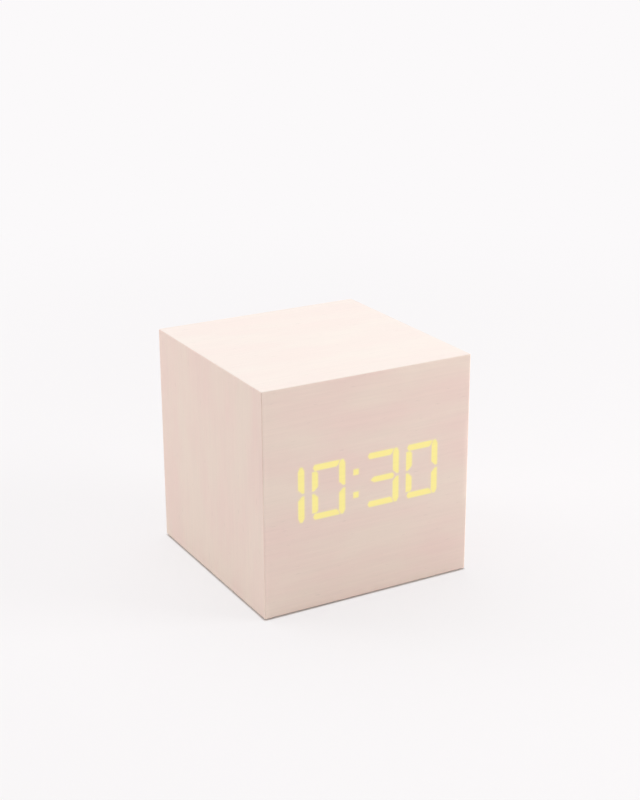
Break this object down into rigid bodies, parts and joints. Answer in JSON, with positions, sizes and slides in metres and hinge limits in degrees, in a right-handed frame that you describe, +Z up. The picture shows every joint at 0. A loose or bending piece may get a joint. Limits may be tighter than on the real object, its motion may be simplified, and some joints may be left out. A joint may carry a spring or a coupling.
{
  "type": "digital desk clock",
  "caption": "Cube-shaped desk clock in pale wood finish; yellow LED segments show the time through the front veneer, with rear buttons, power socket and base battery bay.",
  "frame": {"origin": "middle of the base, on the surface that the clock rests on", "axes": "+Z up, -Y out of the face with the digits, +X to the right as the digits are read"},
  "size_m": [0.06, 0.06, 0.06],
  "materials": {
    "pale_wood": "bleached fine-grained wood, matt",
    "fibreboard": "raw fibreboard",
    "lit_segment": "veneer lit from behind",
    "white_film": "milky film",
    "white_plastic": "white moulding",
    "circuit_board": "green solder mask",
    "led_lens": "yellow lens",
    "chip_black": "black epoxy",
    "black_plastic": "fine-textured black ABS",
    "button_black": "satin black ABS",
    "black_screw": "black-oxide steel",
    "zinc_steel": "bright zinc or nickel plate",
    "can_metal": "drawn can",
    "bead_brown": "epoxy bead",
    "ribbon_film": "white flat cable",
    "cell_jacket": "printed jacket",
    "red_wire": "red insulation",
    "black_wire": "black insulation"
  },
  "bodies": {
    "case": {"front_veneer": "pale_wood", "lit_segments": "lit_segment", "front_board": "fibreboard", "top_board": "pale_wood", "left_board": "pale_wood", "right_board": "pale_wood", "base_board": "pale_wood", "rear_panel": "pale_wood", "corner_blocks": "fibreboard", "rear_screws": "black_screw", "diffuser_film": "white_film", "segment_reflector": "white_plastic", "display_board": "circuit_board", "segment_leds": "led_lens", "driver_chip": "chip_black", "display_screws": "zinc_steel", "main_board": "circuit_board", "stand_offs": "white_plastic", "board_screws": "zinc_steel", "switch_bodies": "chip_black", "usb_shell": "zinc_steel", "usb_tongue": "chip_black", "buzzer": "chip_black", "microphone": "can_metal", "thermistor": "bead_brown", "clock_chip": "chip_black", "crystal": "can_metal", "coin_holder": "black_plastic", "coin_cell": "zinc_steel", "ribbon_sockets": "white_plastic", "display_ribbon": "ribbon_film", "battery_tray": "black_plastic", "battery_cells": "cell_jacket", "cell_springs": "zinc_steel", "end_contacts": "zinc_steel", "red_lead": "red_wire", "black_lead": "black_wire", "tray_screws": "zinc_steel"},
    "set_press": {"set_button": "button_black", "set_plunger": "chip_black"},
    "up_press": {"up_button": "button_black", "up_plunger": "chip_black"},
    "down_press": {"down_button": "button_black", "down_plunger": "chip_black"},
    "door": {"battery_door": "black_plastic"}
  },
  "joints": [
    {"name": "set_button_press", "type": "slide", "parent": "case", "child": "set_press", "axis": [0, -1, 0], "range_m": [0, 0.0004], "stiffness_N_per_m": 4000},
    {"name": "up_button_press", "type": "slide", "parent": "case", "child": "up_press", "axis": [0, -1, 0], "range_m": [0, 0.0004], "stiffness_N_per_m": 4000},
    {"name": "down_button_press", "type": "slide", "parent": "case", "child": "down_press", "axis": [0, -1, 0], "range_m": [0, 0.0004], "stiffness_N_per_m": 4000},
    {"name": "battery_door_hinge", "type": "hinge", "parent": "case", "child": "door", "pos_m": [0, -0.0166, 0.0013], "axis": [-1, 0, 0], "range_deg": [0, 95]}
  ]
}
